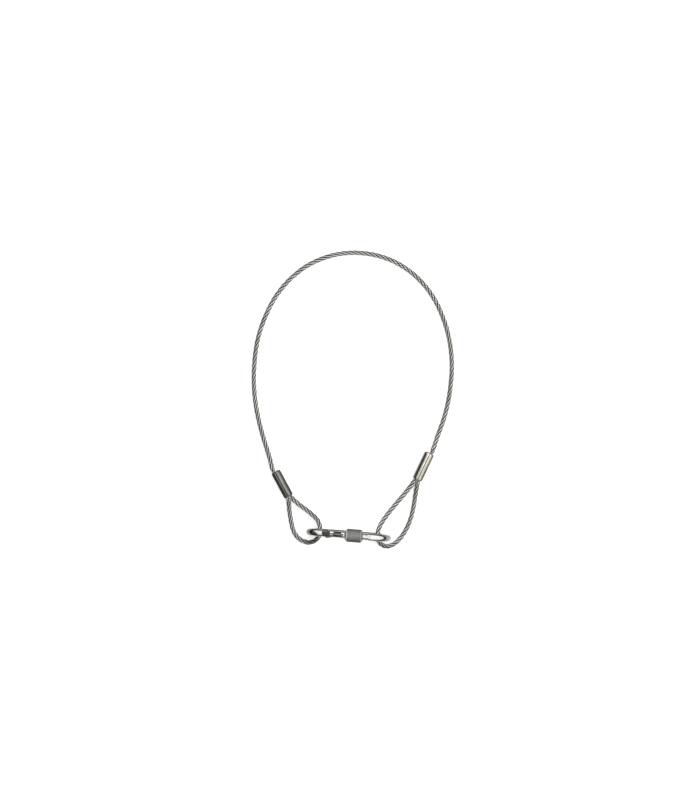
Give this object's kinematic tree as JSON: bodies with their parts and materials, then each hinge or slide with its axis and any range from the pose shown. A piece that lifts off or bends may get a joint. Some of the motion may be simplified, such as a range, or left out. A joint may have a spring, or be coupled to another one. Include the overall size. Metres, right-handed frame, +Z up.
{
  "type": "wire rope safety sling",
  "caption": "Steel wire rope safety sling with a pressed eye at each end, closed by a screw-lock carabiner through both eyes.",
  "frame": {"origin": "middle of the lying sling's outline, on the surface it lies on", "axes": "+Z up from the surface, +Y from the carabiner across the loop to its far side, +X to the right of that, so the loop lies flat in XY"},
  "size_m": [0.1668, 0.245, 0.0321],
  "materials": {
    "rope_steel": "bright stranded wire rope",
    "ferrule_metal": "pressed, satin",
    "polished_steel": "polished plated steel",
    "pin_steel": "turned steel",
    "spring_steel": "drawn spring wire",
    "knurled_steel": "matte, diamond knurled"
  },
  "bodies": {
    "sling": {"wire_rope": "rope_steel", "left_ferrule": "ferrule_metal", "right_ferrule": "ferrule_metal"},
    "carabiner": {"carabiner_body": "polished_steel", "hinge_rivet": "pin_steel"},
    "gate": {"gate": "polished_steel", "latch_pin": "pin_steel", "gate_spring": "spring_steel"},
    "plunger": {"spring_plunger": "pin_steel"},
    "sleeve": {"locking_sleeve": "knurled_steel"}
  },
  "joints": [
    {"name": "carabiner_roll", "type": "hinge", "parent": "sling", "child": "carabiner", "pos_m": [-0.0037, -0.1108, 0.003], "axis": [0.9969, -0.0785, 0], "range_deg": [-45, 12]},
    {"name": "gate_swing", "type": "hinge", "parent": "carabiner", "child": "gate", "pos_m": [-0.02043, -0.10948, 0.02215], "axis": [0.0785, 0.9969, 0], "range_deg": [0, 27], "stiffness_Nm_per_rad": 0.2, "springref_deg": -17.19},
    {"name": "plunger_slide", "type": "slide", "parent": "gate", "child": "plunger", "axis": [0.9835, -0.0774, 0.1636], "range_m": [0, 0.0006], "deforming": ["gate_spring"]},
    {"name": "sleeve_travel", "type": "slide", "parent": "gate", "child": "sleeve", "axis": [0.9835, -0.0774, 0.1636], "range_m": [-0.001, 0.007]}
  ],
  "couplings": [
    {"joint": "plunger_slide", "follows": "gate_swing", "m_per_rad": 0.0009}
  ]
}
